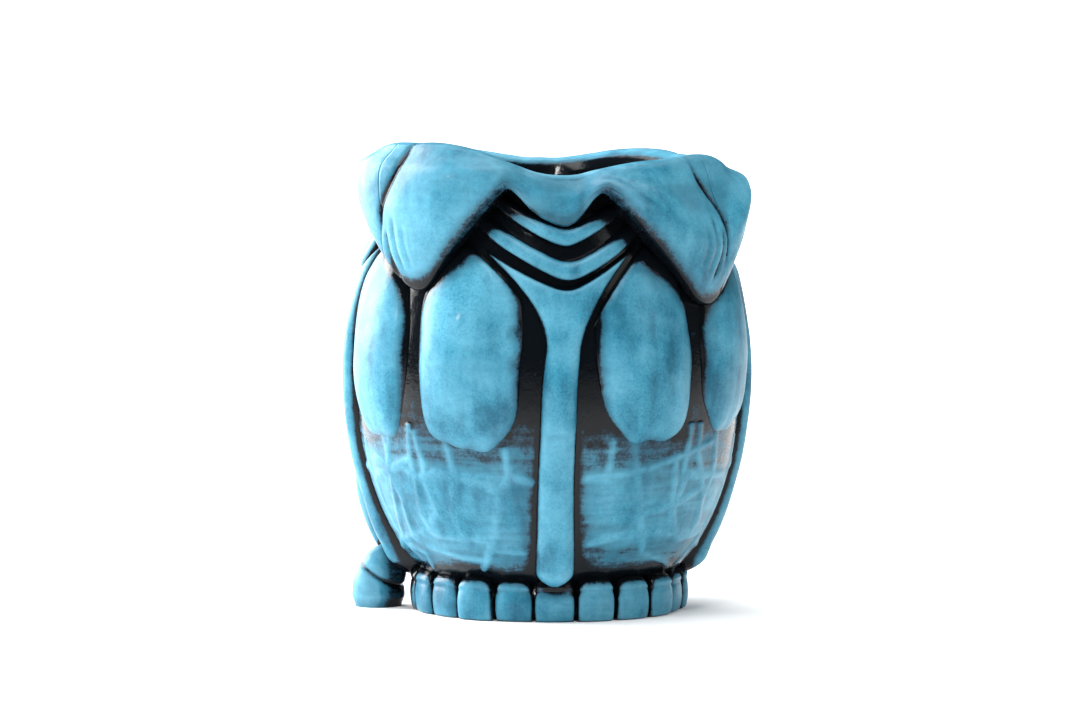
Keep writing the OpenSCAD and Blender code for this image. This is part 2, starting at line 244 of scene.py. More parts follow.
def browSection(az, rows):
    # one section of the brow at each azimuth: lower edge, round lobe, crest, mouth
    e, c, b = browEdge(az), browCrest(az), browFull(az)
    tall = (c - e) / 37
    low = b - brow["tuck"] * tall ** 2
    root = wallRadius(e) - brow["sink"]
    share, values = between(az)
    fullAt = 0.56 + (values["shoulder"] - 0.56) * smooth(share, 0.1, 0.6)
    topIn = 0.14 + (values["roundTop"] - 0.14) * smooth(share, 0.02, 0.3)
    shoulder = e + (c - e) * fullAt
    spots = [
        (root, e + 1.0),
        (root + (low - root) * 0.32, e - 0.1),
        (root + (low - root) * 0.78, e + 0.15),
        (low, e + 2.4),
        (low + (b - low) * 0.74, e + (shoulder - e) * 0.52),
        (b, shoulder),
        (b + (mouthR - b) * topIn, e + (c - e) * (fullAt * 0.42 + 0.56)),
        (b + (mouthR - b) * (topIn * 0.7 + 0.23), e + (c - e) * 0.93),
        (b + (mouthR - b) * (topIn * 0.6 + 0.42), c),
        (b + (mouthR - b) * 0.8, c - 0.9),
        (np.full_like(b, mouthR + 0.5), c - 3.6),
        (np.full_like(b, mouthR), np.minimum(c - 5.6, seatZ + 2.2)),
        (np.full_like(b, mouthR + 0.02), np.full_like(b, seatZ - 1.2)),
    ]
    p = np.stack([np.stack(s, -1) for s in spots], 1)            # azimuth, spot, (r, z)
    p = np.concatenate([2 * p[:, :1] - p[:, 1:2], p, 2 * p[:, -1:] - p[:, -2:-1]], 1)
    fine = []
    for k in range(len(spots) - 1):
        for t in np.linspace(0, 1, 14, endpoint=k == len(spots) - 2):
            a, b0, c0, d = p[:, k], p[:, k + 1], p[:, k + 2], p[:, k + 3]
            fine.append(0.5 * (2 * b0 + (c0 - a) * t + (2 * a - 5 * b0 + 4 * c0 - d) * t ** 2
                               + (3 * b0 - a - 3 * c0 + d) * t ** 3))
    fine = np.stack(fine, 1)
    steps = np.linalg.norm(np.diff(fine, axis=1), axis=2)
    run = np.concatenate([np.zeros((len(az), 1)), np.cumsum(steps, 1)], 1)
    run /= run[:, -1:]
    want = np.linspace(0, 1, rows)
    out = np.empty((len(az), rows, 2))
    for i in range(len(az)):
        out[i, :, 0] = np.interp(want, run[i], fine[i, :, 0])
        out[i, :, 1] = np.interp(want, run[i], fine[i, :, 1])
    return out


# helpers that make a mesh
def placed(name, data):
    thing = bpy.data.objects.new(name, data)
    bpy.context.scene.collection.objects.link(thing)
    return thing


def meshFrom(name, points, quads):
    # points in mm; a face that repeats a corner is closed to a triangle
    data = bpy.data.meshes.new(name)
    clean = []
    for q in quads:
        seen = list(dict.fromkeys(int(v) for v in q))
        if len(seen) > 2:
            clean.append(seen)
    data.from_pydata([tuple(p) for p in (np.asarray(points) * mm)], [], clean)
    data.validate()
    data.shade_smooth()
    return placed(name, data)


def storeLayer(piece, label, values):
    layer = piece.data.attributes.new(label, "FLOAT", "POINT")
    layer.data.foreach_set("value", np.asarray(values, np.float32))


def readLayer(piece, label):
    values = np.zeros(len(piece.data.vertices), np.float32)
    if label in piece.data.attributes:
        piece.data.attributes[label].data.foreach_get("value", values)
    return values


def gridQuads(rows, cols, offset=0, wrap=False, flip=False):
    i, j = np.meshgrid(np.arange(rows - 1), np.arange(cols if wrap else cols - 1), indexing="ij")
    right = (j + 1) % cols
    q = np.stack([i * cols + j, i * cols + right, (i + 1) * cols + right, (i + 1) * cols + j], -1)
    q = q.reshape(-1, 4)
    return (q[:, ::-1] if flip else q) + offset


def closedPatch(name, front, back):
    # front[i][j] seen from outside, rows upwards and columns to the right, and a back sheet on the wall
    rows, cols = front.shape[:2]
    count = rows * cols
    quads = [gridQuads(rows, cols), gridQuads(rows, cols, count, flip=True)]
    j = np.arange(cols - 1)
    i = np.arange(rows - 1)
    last = (rows - 1) * cols
    quads.append(np.stack([count + j, count + j + 1, j + 1, j], -1))
    quads.append(np.stack([last + j, last + j + 1, count + last + j + 1, count + last + j], -1))
    quads.append(np.stack([(i + 1) * cols, count + (i + 1) * cols, count + i * cols, i * cols], -1))
    right = cols - 1
    quads.append(np.stack([i * cols + right, count + i * cols + right,
                           count + (i + 1) * cols + right, (i + 1) * cols + right], -1))
    return meshFrom(name, np.concatenate([front.reshape(-1, 3), back.reshape(-1, 3)]), np.concatenate(quads))


# brows
print("brows")
groove = {
    "bendHigh": 6.5,           # degrees that a crease leans over at its two ends
    "bendLow": 3.5,
    "radius": 49,
    "valleyWidth": 5.0,
    "markWidth": 0.8,
    "markLean": -0.08,
    "markHeight": 91,
}
# the tool marks beside each crease: how far from it, lowest point, highest point, depth
toolMarks = [(2.6, 86.0, 97.0, 0.6), (6.0, 89.0, 100.0, 0.4), (9.4, 90.0, 98.0, 0.25)]


def browGrooves(az, z, along):
    # the crease in the middle of each lobe with the tool marks beside it, and the valley it lies in, in mm
    cut, valley = 0, 0
    for n, lobe in enumerate(lobeSet):
        inward = 1 if n in (1, 3) else -1
        bend = inward * (groove["bendHigh"] * smooth(z, 101, 115) + groove["bendLow"] * smooth(z, 93, 81))
        side = turned(az - lobe["crease"] - bend) * math.radians(1) * groove["radius"]
        strength = smooth(along, 0.12, 0.3) * smooth(along, 0.76, 0.56)
        cut = cut + brow["creaseDepth"] * strength * np.exp(-(side / brow["creaseWidth"]) ** 2)
        valley = valley + brow["creaseValley"] * strength * np.exp(-(side / groove["valleyWidth"]) ** 2)
        for away, low, high, deep in toolMarks:
            s = side - inward * (away + (z - groove["markHeight"]) * groove["markLean"])
            mark = deep * np.exp(-(s / groove["markWidth"]) ** 2)
            cut = cut + mark * smooth(z, low - 2.5, low + 1.5) * smooth(z, high + 2.5, high - 1)
    return cut, valley


def buildBrow(name, fromAz, toAz):
    rows = brow["rows"]
    n = int(round((toAz - fromAz) / brow["azStep"]))
    az = np.linspace(fromAz, toAz, n + 1)
    section = browSection(az, rows)
    r, z = section[..., 0], section[..., 1]
    share = np.linspace(0, 1, rows)
    along = np.broadcast_to(share, r.shape)
    azGrid = np.repeat(az[:, None], rows, 1)
    slopeR, slopeZ = np.gradient(r, axis=1), np.gradient(z, axis=1)
    long = np.hypot(slopeR, slopeZ) + 1e-9
    outR, outZ = slopeZ / long, -slopeR / long
    cut, valley = browGrooves(azGrid, z, along)
    lift = -cut - valley
    for size, height, seed in brow["unevenness"]:
        bumps = height * wobble(azGrid, z, size, seed)
        lift = lift + bumps * smooth(along, 0.1, 0.3) * smooth(along, 0.85, 0.7)
    r = r + outR * lift
    z = z + outZ * lift
    front = onto(azGrid, r, z).transpose(1, 0, 2)
    # the back goes up the wall, then in to the mouth
    backZ = z[:, :1] + (seatZ - 1.2 - z[:, :1]) * np.clip(share / brow["backShare"], 0, 1)
    wall = wallRadius(backZ) - brow["sink"]
    inner = np.clip((share - brow["backShare"]) / (1 - brow["backShare"]), 0, 1)
    backR = wall * (1 - inner) + r[:, -1:] * inner
    back = onto(azGrid, backR, backZ).transpose(1, 0, 2)
    piece = closedPatch(name, front, back)
    storeLayer(piece, "cut", np.concatenate([cut.T.ravel(), np.zeros(cut.size)]))
    return piece


creases = [l["crease"] for l in lobeSet]
browPieces = [
    buildBrow("browFront", creases[3] - 360, creases[0]),
    buildBrow("browRight", creases[0], creases[1]),
    buildBrow("browBack", creases[1], creases[2]),
    buildBrow("browLeft", creases[2], creases[3]),
]

# reliefs that lie on the wall
sinkIn = 0.35          # how far a relief's own edge goes under the wall's skin


def dome(u, flat):
    return np.clip(1 - np.abs(u) ** flat, 0, 1)


print("folds")
fold = {
    "upperDrop": 23.4, "lowerDrop": 31.6,
    "upperRise": 15.2, "lowerRise": 19.0,
    "upperHalf": 2.6, "lowerHalf": 2.85,
    "upperReach": (1.24, 1.28), "lowerReach": (1.42, 1.5),
    "upperWave": 1, "lowerWave": 2.4, "waveHeight": 0.25,
    "height": 2.9, "taper": 0.22, "middleRound": 0.012,
}


def buildFold(face, level):
    place = faceSet[face]
    left, right = [reach * more for reach, more in zip(place["reach"], fold[level + "Reach"])]
    uu, vv = np.meshgrid(np.linspace(-1, 1, 150), np.linspace(-1, 1, 23))
    az = place["az"] + place["shift"] + np.where(uu < 0, uu * left, uu * right)
    reachShare = np.where(uu < 0, left, right) / max(left, right)
    # round at the very middle, then straight up the brow
    climb = (np.sqrt(uu ** 2 + fold["middleRound"]) - math.sqrt(fold["middleRound"])) ** 1.05
    spine = mugTop - fold[level + "Drop"] + fold[level + "Rise"] * reachShare * climb
    spine = spine + fold["waveHeight"] * np.sin(uu * 5 + fold[level + "Wave"])
    z = spine + vv * (fold[level + "Half"] * (1 - fold["taper"] * np.abs(uu) ** 2))
    lift = fold["height"] * dome(vv, 3.6) ** 0.8 * dome(uu, 9) ** 0.6 - sinkIn
    lift = lift * (1 - fold["taper"] * np.abs(uu)) + 0.12 * wobble(az, z, 5, 11)
    front = onto(az, wallRadius(z) + lift, z)
    back = onto(az, wallRadius(z) - sinkIn * 3, z)
    return closedPatch("fold" + level.capitalize() + face.capitalize(), front, back)


foldPieces = {(f, level): buildFold(f, level) for f in faces for level in ("upper", "lower")}

print("noses")
nose = {
    "halfWidth": 4.7, "height": 3.8, "footFlare": 0.35, "footLift": 1.5,
    "flareHeight": 69.0, "flareShare": 0.60, "armHeight": 97.4, "notchDrop": 35.1,
    "tip": 8.6, "tipRound": 4.6, "overTeeth": 2.0,
}


def buildNose(face):
    place = faceSet[face]
    ss, uu = np.meshgrid(np.linspace(0, 1, 190), np.linspace(-1, 1, 65), indexing="ij")
    stem = np.clip(ss / nose["flareShare"], 0, 1)
    fork = np.clip((ss - nose["flareShare"]) / (1 - nose["flareShare"]), 0, 1)
    stemZ = nose["tip"] + (nose["flareHeight"] - nose["tip"]) * stem
    # the fork's notch stays low in the middle while the arms climb at the sides
    notchZ = mugTop - nose["notchDrop"]
    armRise = (np.sqrt(uu ** 2 + 0.02) - math.sqrt(0.02)) ** 1.05 * 1.12
    forkZ = nose["flareHeight"] + (notchZ - nose["flareHeight"]) * fork
    forkZ = forkZ + (nose["armHeight"] - notchZ) * fork * armRise
    z = np.where(fork > 0, forkZ, stemZ)
    fromTip = np.clip((stemZ - nose["tip"]) / nose["tipRound"], 0, 1)
    roundTip = np.sqrt(np.clip(1 - (1 - fromTip) ** 2, 0.02, 1))
    halfMm = (nose["halfWidth"] + nose["footFlare"] * smooth(stemZ, 40, 12)) * roundTip
    halfDeg = np.degrees(halfMm / wallRadius(np.maximum(stemZ, 12)))
    reach = np.where(uu < 0, *place["arms"])
    spread = np.where(uu < 0, *place["spread"])
    halfDeg = halfDeg + (reach - halfDeg) * np.where(fork > 0, fork ** spread, 0)
    centre = place["az"] + place["shift"] * smooth(z, 56, 84) - place["lean"] * smooth(z, 46, 10)
    centre = centre + 0.35 * np.sin(z * 0.13)
    az = centre + uu * halfDeg
    upper = smooth(fork, 1.0, 0.9)
    lift = nose["height"] * dome(uu, 3.2) ** 0.75 * np.where(fork > 0, 1 - 0.2 * fork, 1)
    lift = lift * (upper * 0.85 + 0.15) * smooth(stemZ, nose["tip"] - 1.5, nose["tip"] + 4) ** 0.5
    lift = lift + nose["footLift"] * smooth(stemZ, 34, 14) * dome(uu, 2.4)
    lift = lift + 0.2 * wobble(az, z, 8, 21) * dome(uu, 4) - sinkIn
    # the end of the rib comes forward over the teeth's top edge
    over = smooth(z, 17, 9) * dome(uu, 2.5)
    front = onto(az, wallRadius(z) + lift + over * nose["overTeeth"], z)
    back = onto(az, wallRadius(z) - sinkIn * 3, z)
    return closedPatch("nose" + face.capitalize(), front, back)


nosePieces = {f: buildNose(f) for f in faces}

print("eye pads")
pad = {
    "height": 4.2, "square": 3.1, "edgeRound": 2.7,
    "shoulder": 0.82, "crown": 0.18,                  # shares of the height
    "fromBrow": 1.2, "fromArm": -1.9, "soft": 1.4,    # where the top is cut off, and how softly
    "turns": 128, "rings": 40,
}
padSet = {
    ("front", -1): {"mid": -27.4, "half": 17.4, "low": 43.6, "top": 99.0, "tilt": 0.6},
    ("front", 1): {"mid": 27.7, "half": 16.9, "low": 45.6, "top": 97.5, "tilt": -1.4},
    ("right", -1): {"mid": -28.6, "half": 16.0, "low": 46.5, "top": 96.0, "tilt": 0.8},
    ("right", 1): {"mid": 26.0, "half": 14.6, "low": 45.0, "top": 96.0, "tilt": -1.0},
    ("back", -1): {"mid": -26.0, "half": 14.4, "low": 44.5, "top": 96.0, "tilt": 1.0},
    ("back", 1): {"mid": 26.2, "half": 14.6, "low": 45.5, "top": 95.5, "tilt": -1.0},
    ("left", -1): {"mid": -26.0, "half": 14.6, "low": 45.5, "top": 96.0, "tilt": 1.0},
    ("left", 1): {"mid": 28.6, "half": 15.9, "low": 45.2, "top": 96.5, "tilt": -0.6},
}
# two thumb dents in the front left pad and a small lip at its bottom: azimuth, height, depth, width
thumbDents = [(-11.4, 73.5, 1.9, 2.5), (-11.8, 65.5, 1.5, 2.2), (-39.5, 47.0, 1.3, 2.2)]


def padMesh(name, front, back):
    # two round sheets, each closed at its middle, joined at their edges
    rings, turns = front.shape[:2]
    count = rings * turns
    points = np.concatenate([front.reshape(-1, 3), back.reshape(-1, 3)])
    points[:turns] = points[:turns].mean(0)
    points[count:count + turns] = points[count:count + turns].mean(0)
    quads = [gridQuads(rings, turns, wrap=True), gridQuads(rings, turns, count, wrap=True, flip=True)]
    edge = (rings - 1) * turns + np.arange(turns)
    after = (rings - 1) * turns + (np.arange(turns) + 1) % turns
    quads.append(np.stack([edge, after, count + after, count + edge], -1))
    quads = np.concatenate(quads)
    quads = np.where(quads < turns, 0, quads)
    quads = np.where((quads >= count) & (quads < count + turns), count, quads)
    used = np.unique(quads)
    newIndex = np.zeros(len(points), int)
    newIndex[used] = np.arange(len(used))
    return meshFrom(name, points[used], newIndex[quads])


def buildPad(face, side):
    place = padSet[(face, side)]
    theta = np.linspace(0, 2 * math.pi, pad["turns"], endpoint=False)
    rho = np.linspace(0, 1, pad["rings"]) ** 0.8
    rr, tt = np.meshgrid(rho, theta, indexing="ij")
    c, s = np.cos(tt), np.sin(tt)
    power = pad["square"]
    rim = (np.abs(c) ** power + np.abs(s) ** power) ** (-1 / power)
    seed = faces.index(face) * 2 + (side > 0)
    dice = np.random.default_rng(40 + seed)
    for k in (3, 5, 7, 11):
        rim = rim * (1 + dice.uniform(0.006, 0.016) * np.sin(k * tt + dice.uniform(0, 6.28)))
    midZ = (place["low"] + place["top"]) / 2
    halfZ = (place["top"] - place["low"]) / 2
    x, y = rim * c * rr, rim * s * rr
    narrow = 1 - 0.08 * np.clip(y, 0, 1) ** 2 - 0.08 * np.clip(-y, 0, 1) ** 2.4
    az = faceSet[face]["az"] + place["mid"] + place["half"] * x * narrow + place["tilt"] * y
    z = midZ + halfZ * y
    # the top is cut off by the brow's edge and by the nose's arm
    noseMid = faceSet[face]["az"] + faceSet[face]["shift"]
    away = np.abs(turned(az - noseMid))
    span, spread = [faceSet[face][k][0 if side < 0 else 1] for k in ("arms", "spread")]
    climb = np.clip((away - 5.5) / (span - 5.5), 0, 1.5) ** (1 / spread)
    armUnder = nose["flareHeight"] + pad["fromArm"] + (nose["armHeight"] - nose["flareHeight"]) * climb
    roof = np.minimum(armUnder, browEdge(az) + pad["fromBrow"])
    soft = pad["soft"]
    z = -soft * np.log(np.exp(-(z - 80) / soft) + np.exp(-(roof - 80) / soft)) + 80
    edge = 1 - rr ** pad["edgeRound"]
    lift = pad["height"] * (pad["shoulder"] * edge ** 0.62 + pad["crown"] * (1 - rr ** 2)) - sinkIn
    lift = lift + (0.26 * wobble(az, z, 11, 60 + seed) + 0.07 * wobble(az, z, 4, 80 + seed)) * edge
    if (face, side) == ("front", -1):
        for spotAz, spotZ, deep, wide in thumbDents:
            d = np.hypot((az - spotAz) * 0.83, z - spotZ)
            lift = lift - deep * np.exp(-(d / wide) ** 2) * edge
    front = onto(az, wallRadius(z) + lift, z)
    back = onto(az, wallRadius(z) - sinkIn * 3, z)
    return padMesh("eyePad%s%s" % (face.capitalize(), "A" if side < 0 else "B"), front, back)


padPieces = {key: buildPad(*key) for key in padSet}

print("limb and knob")
limb = {"az": -107.0, "lean": 4.5, "halfDeg": 4.4, "taper": 0.35, "low": 9.0, "top": 41.0, "height": 8.0}
knob = {
    "fullTo": 0.34,            # share of the height that stays full before the top rounds over
    "lean": 2.2,
    "creaseHeight": 9.0, "creaseFallX": 0.50, "creaseRiseY": 0.25,
    "creaseWidth": 0.6, "creaseDepth": 0.55,
    "hollowWidth": 2.4, "hollowDepth": 0.45,
    "turns": 120, "rings": 90,
}
knobLow, knobHigh = [np.array(c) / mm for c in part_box("foot_knob")]


def buildLimb():
    ss, uu = np.meshgrid(np.linspace(0, 1, 90), np.linspace(-1, 1, 41), indexing="ij")
    z = limb["low"] + (limb["top"] - limb["low"]) * ss
    half = limb["halfDeg"] * (1 - limb["taper"] * ss)
    az = limb["az"] + limb["lean"] * smooth(ss, 0.55, 0) + uu * half
    lift = limb["height"] * dome(uu, 2.6) ** 0.7 * (1 - ss ** 3) ** 0.7 + 0.2 * wobble(az, z, 7, 91) - sinkIn
    front = onto(az, wallRadius(z) + lift, z)
    back = onto(az, wallRadius(z) - sinkIn * 3, z)
    return closedPatch("limb", front, back)


def buildKnob():
    # a full round lump like the end of a toe, leaning in to the cup, with one thin slanting crease
    turns, rings = knob["turns"], knob["rings"]
    theta = np.linspace(0, 2 * math.pi, turns, endpoint=False)
    centre, half = (knobLow + knobHigh) / 2, (knobHigh - knobLow) / 2
    tall = knobHigh[2] - knobLow[2]
    across = 1 + 0.05 * np.sin(2 * theta + 0.6)
    points, depth = [], []
    for t in np.linspace(0, 1, rings):
        z = knobLow[2] + tall * (1 - math.cos(t * math.pi)) / 2
        h = (z - knobLow[2]) / tall
        size = (1 - np.clip((h - knob["fullTo"]) / (1 - knob["fullTo"]), 0, 1) ** 2.4) ** 0.55
        size = max(size * (0.86 + 0.14 * float(smooth(h, 0, 0.2))), 0.04)
        x = centre[0] + np.cos(theta) * half[0] * size * across * 0.99 + knob["lean"] * h ** 2
        y = centre[1] + np.sin(theta) * half[1] * size * across * 0.95
        creaseZ = knobLow[2] + knob["creaseHeight"] - knob["creaseFallX"] * (x - centre[0])
        creaseZ = creaseZ + knob["creaseRiseY"] * (y - centre[1])
        cut = np.exp(-((z - creaseZ) / knob["creaseWidth"]) ** 2)
        hollow = np.exp(-((z - creaseZ) / knob["hollowWidth"]) ** 2)
        deep = knob["creaseDepth"] * cut + knob["hollowDepth"] * hollow
        x = x - np.cos(theta) * deep * size
        y = y - np.sin(theta) * deep * size
        points.append(np.stack([x, y, np.full(turns, max(z, 0.0))], -1))
        depth.append(cut)
    quads = list(gridQuads(rings, turns, wrap=True))
    top = (rings - 1) * turns
    quads.append(list(range(turns))[::-1])
    quads.append([top + k for k in range(turns)])
    piece = meshFrom("footKnob", np.concatenate(points), quads)
    storeLayer(piece, "cut", np.concatenate(depth))
    return piece


limbPiece = buildLimb()
knobPiece = buildKnob()


# helpers that make a node tree
def setInputs(tree, node, inputs):
    # each input gets a value, or a link when it is given another node's output
    for label, value in inputs.items():
        if isinstance(value, bpy.types.NodeSocket):
            tree.links.new(value, node.inputs[label])
        else:
            node.inputs[label].default_value = value


def newNode(tree, kind, inputs=None, **settings):
    node = tree.nodes.new(kind)
    for label, value in settings.items():
        setattr(node, label, value)
    setInputs(tree, node, inputs or {})
    return node


def newMath(tree, kind, a, b=None, clamp=False):
    inputs = {0: a} if b is None else {0: a, 1: b}
    return newNode(tree, "ShaderNodeMath", inputs, operation=kind, use_clamp=clamp).outputs[0]


def socketId(tree, name):
    return next(s.identifier for s in tree.interface.items_tree if s.name == name and s.in_out == "INPUT")


def newTree(name, inputs):
    tree = bpy.data.node_groups.new(name, "GeometryNodeTree")
    tree.interface.new_socket("Geometry", in_out="INPUT", socket_type="NodeSocketGeometry")
    for label, kind, value in inputs:
        s = tree.interface.new_socket(label, in_out="INPUT", socket_type=kind)
        if value is not None:
            s.default_value = value
    tree.interface.new_socket("Geometry", in_out="OUTPUT", socket_type="NodeSocketGeometry")
    return tree, tree.nodes.new("NodeGroupInput"), tree.nodes.new("NodeGroupOutput")


def endTree(tree, geometry, given, result):
    real = newNode(tree, "GeometryNodeRealizeInstances", {0: geometry})
    paint = newNode(tree, "GeometryNodeSetMaterial", {0: real.outputs[0], "Material": given.outputs["Glaze"]})
    tree.links.new(paint.outputs[0], result.inputs[0])


def runTree(piece, tree, values, helper):
    # runs the tree on the piece, keeps the result as its plain mesh, and removes the helper object
    mod = piece.modifiers.new(tree.name, "NODES")
    mod.node_group = tree
    for label, value in values.items():
        mod[socketId(tree, label)] = value
    graph = bpy.context.evaluated_depsgraph_get()
    plain = bpy.data.meshes.new_from_object(piece.evaluated_get(graph))
    piece.modifiers.clear()
    piece.data = plain
    bpy.data.objects.remove(helper)
    piece.data.shade_smooth()
    return piece


# teeth, laid round the foot by geometry nodes
print("teeth")
teeth = {
    "count": 20, "gap": 0.7, "height": toothTop + 0.3, "reach": -toothLow[1] + 0.1,
    "bulge": 1.5, "corner": 3.4, "topDip": 1.3, "turn": 0.0, "unevenness": 0.035, "seed": 5,
}


def toothShape():
    # one tooth at -Y: a finger-like pillow, round at the front and the top, its back against the foot
    inner, outer = cup["footRadius"] - 0.3, teeth["reach"]
    corner, top = teeth["corner"], teeth["height"]
    halfDeg = 180 / teeth["count"] - math.degrees(teeth["gap"] / 2 / outer)
    tt, uu = np.meshgrid(np.linspace(0, 1, 44), np.linspace(-1, 1, 33), indexing="ij")
    # profile from the table up the front and over the top, back to the foot
    path = [(inner, 0.0), (outer - 1.5, 0.0), (outer - 0.6, 0.5)]
    path += [(outer - 0.35 * ((z - 4.6) / 3.2) ** 2, z) for z in np.linspace(1.6, top - corner, 7)]
    path += [(outer - corner + corner * math.cos(a), top - corner + corner * math.sin(a))
             for a in np.radians(np.linspace(14, 88, 9))]
    path += [(inner, top - 0.3)]
    path = np.array(path)
    run = np.concatenate([[0], np.cumsum(np.linalg.norm(np.diff(path, axis=0), axis=1))])
    r = np.interp(tt * run[-1], run, path[:, 0])
    z = np.interp(tt * run[-1], run, path[:, 1])
    share = (r - inner) / (outer - inner)
    rounding = 1 - np.sqrt(np.clip(1 - np.abs(uu) ** 3.2, 0, 1))
    r = r - rounding * teeth["bulge"] * share
    z = z - rounding * teeth["topDip"] * smooth(z, top * 0.45, top)
    az = uu * halfDeg * (1 - 0.10 * smooth(z, top * 0.4, top))
    front = onto(az, r, z)
    back = onto(az, np.full_like(r, inner - 0.2), z)
    return closedPatch("toothShape", front, back)


def layTeeth():
    shape = toothShape()
    tree, given, result = newTree("teethRoundTheFoot", [
        ("Tooth", "NodeSocketObject", None), ("Count", "NodeSocketInt", 20), ("Turn", "NodeSocketFloat", 0.0),
        ("Unevenness", "NodeSocketFloat", 0.03), ("Seed", "NodeSocketInt", 1),
        ("Glaze", "NodeSocketMaterial", None)])
    ring = newNode(tree, "GeometryNodePoints", {"Count": given.outputs["Count"]})
    info = newNode(tree, "GeometryNodeObjectInfo", {"As Instance": True, "Object": given.outputs["Tooth"]})
    index = newNode(tree, "GeometryNodeInputIndex")
    spacing = newMath(tree, "DIVIDE", 2 * math.pi, given.outputs["Count"])
    angle = newMath(tree, "MULTIPLY", index.outputs[0], spacing)
    spin = newNode(tree, "ShaderNodeCombineXYZ", {"Z": newMath(tree, "ADD", angle, given.outputs["Turn"])})
    # each tooth is made smaller by its own random amount
    dice = newNode(tree, "FunctionNodeRandomValue", {"Seed": given.outputs["Seed"]}, data_type="FLOAT_VECTOR")
    less = {0: dice.outputs[0], "Scale": given.outputs["Unevenness"]}
    less = newNode(tree, "ShaderNodeVectorMath", less, operation="SCALE")
    size = {0: (1, 1, 1), 1: less.outputs[0]}
    size = newNode(tree, "ShaderNodeVectorMath", size, operation="SUBTRACT")
    onPoints = newNode(tree, "GeometryNodeInstanceOnPoints", {
        "Points": ring.outputs[0], "Instance": info.outputs["Geometry"],
        "Rotation": spin.outputs[0], "Scale": size.outputs[0]})
    endTree(tree, onPoints.outputs[0], given, result)
    values = {"Tooth": shape, "Count": teeth["count"], "Turn": teeth["turn"],
              "Unevenness": teeth["unevenness"], "Seed": teeth["seed"], "Glaze": glaze}
    return runTree(placed("teeth", bpy.data.meshes.new("teeth")), tree, values, shape)


# the glaze
glazeSet = {
    "pale": (0.20, 0.47, 0.62, 1),
    "light": (0.070, 0.325, 0.455, 1),
    "teal": (0.036, 0.232, 0.340, 1),
    "deep": (0.015, 0.125, 0.200, 1),
    # the stain colour is thick glaze and painted shade
    "stainAndShade": (0.007, 0.050, 0.085, 1),
    # painted sheen colour: a purple-grey reflection look
    "paintedSheen": (0.055, 0.062, 0.100, 1),
    # the pool colour is black glaze, which also paints the darkest shade
    "poolAndShade": (0.0020, 0.0036, 0.0055, 1),
    "stainAndShadeStrength": 0.85,
    "paintedSheenStrength": 0.30,
    "roughWiped": 0.40,
    "roughPooled": 0.11,
    "roughUneven": 0.10,
    "specular": 0.18,
    "coat": 0.06,
    "coatRough": 0.10,
    "bumpStrength": 0.45,
    "bumpDistance": 0.00024,
}
# each pattern in the glaze: how fine it is, detail, roughness, how many times shorter it is upwards
patterns = {
    "fine": (1700, 2, 0.6, 1),
    "grain": (520, 3, 0.6, 1),
    "cloud": (75, 4, 0.6, 1),
    "broad": (22, 3, 0.5, 1),
    "streaks": (70, 5, 0.5, 9),
    "brushed": (260, 4, 0.5, 0.22),
}
# how much of each pattern goes into the pools' edges, into the wiped colour and into the surface
edgeMix = {"fine": 0.30, "grain": 0.34, "cloud": 0.42, "brushed": 0.22}
toneMix = {"broad": 0.40, "cloud": 0.32, "brushed": 0.28}
heightMix = {"fine": 0.35, "grain": 0.8, "cloud": 2.2}
black, white = (0, 0, 0, 1), (1, 1, 1, 1)


